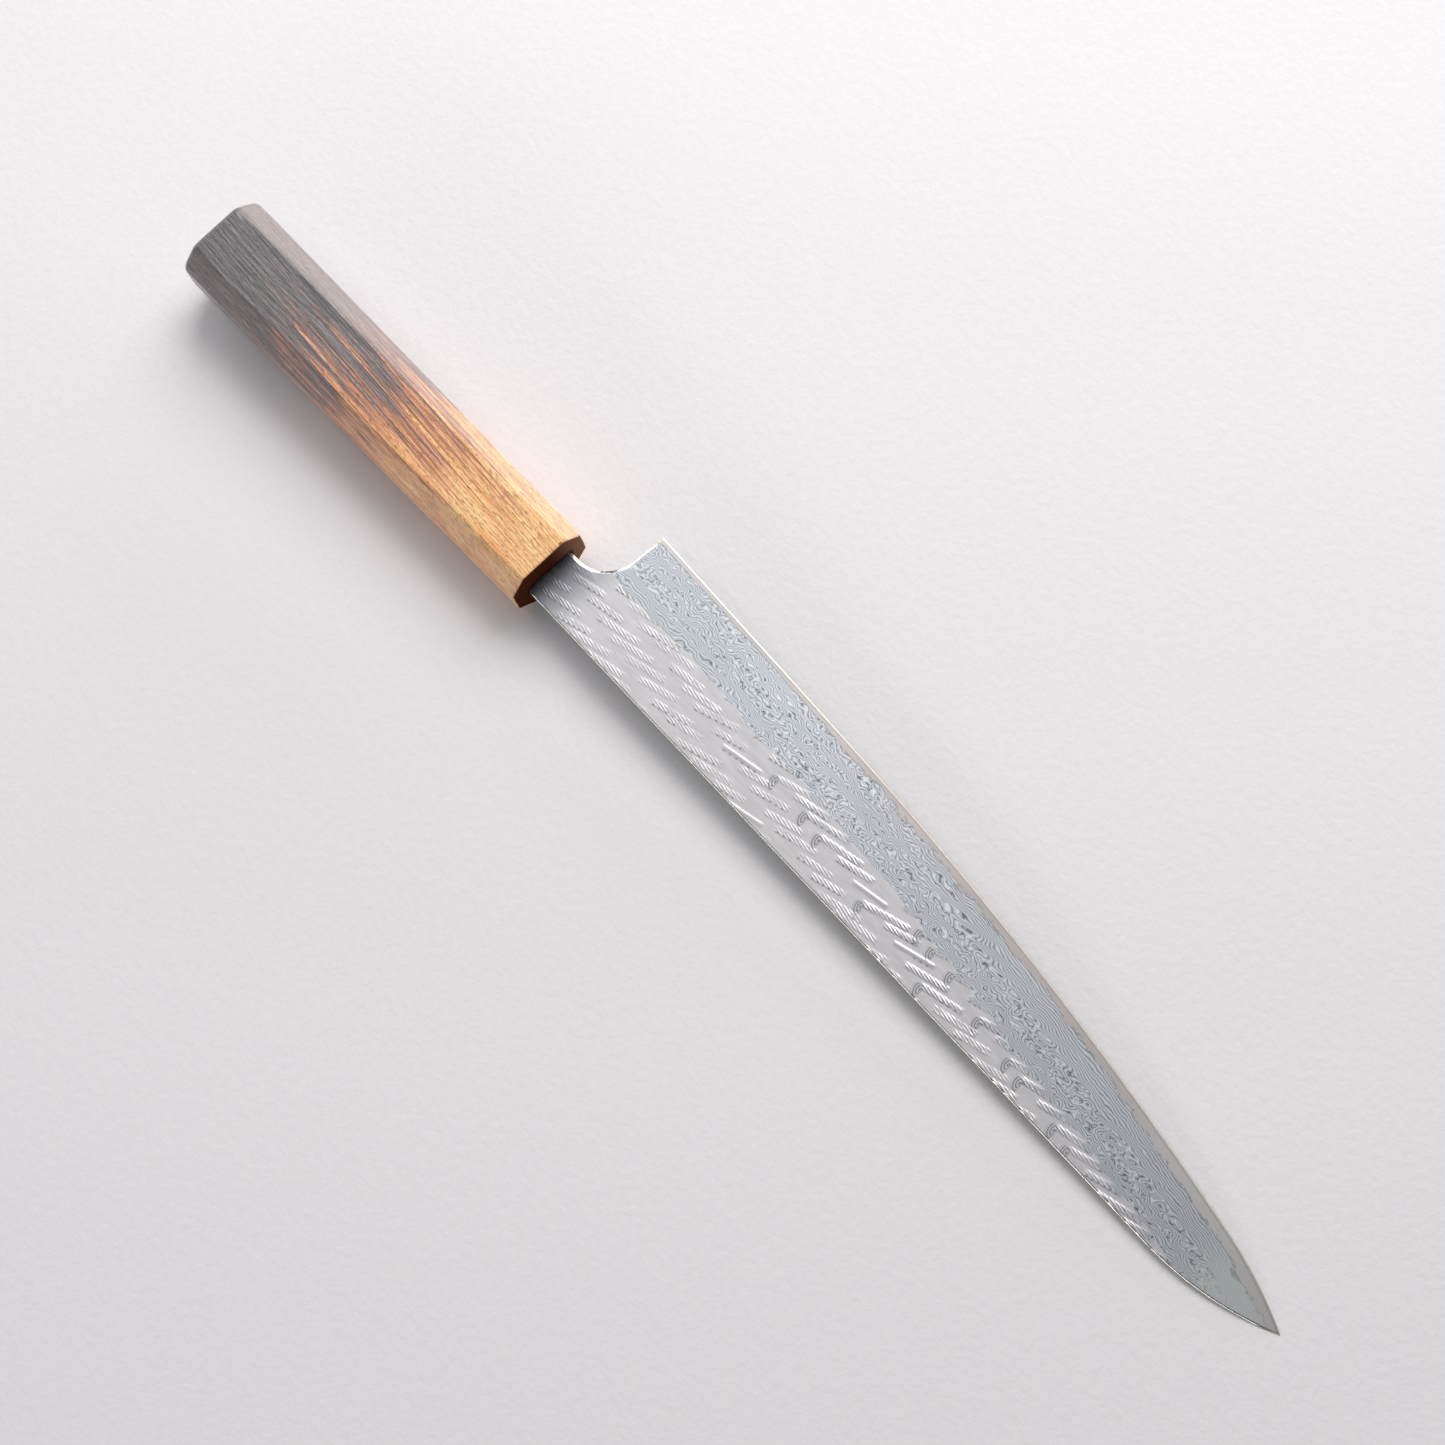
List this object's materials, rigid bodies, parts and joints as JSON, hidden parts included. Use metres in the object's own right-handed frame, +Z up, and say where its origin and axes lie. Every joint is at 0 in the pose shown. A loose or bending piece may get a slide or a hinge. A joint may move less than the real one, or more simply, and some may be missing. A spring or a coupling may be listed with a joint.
{
  "type": "slicing knife",
  "caption": "Long narrow slicing knife with a hammered layered-steel blade and a tapered octagonal handle of burnt wood.",
  "frame": {"origin": "on the surface that the knife lies on, under the middle of its bounding box, with the knife lying on its side as it rests on a flat surface", "axes": "+X along the knife from the butt to the tip, +Y across it towards the cutting edge, +Z up"},
  "size_m": [0.4226, 0.0425, 0.0259],
  "materials": {
    "burnt_wood": "scorched and brushed open-pored hardwood, charcoal at the butt running out into orange-brown, satin",
    "core_steel": "fine satin, ground; brighter narrow sharpening bevel",
    "layered_steel": "etched layered pattern, satin",
    "hammered_steel": "hammered with rows of rope-like marks, satin between them",
    "adhesive": "set resin",
    "seal": "dark sealing bead"
  },
  "bodies": {
    "root": {"handle": "burnt_wood", "core_steel": "core_steel", "damascus_upper": "layered_steel", "damascus_lower": "layered_steel", "face_steel_upper": "hammered_steel", "face_steel_lower": "hammered_steel", "tang_adhesive": "adhesive", "mouth_seal": "seal"}
  },
  "joints": []
}
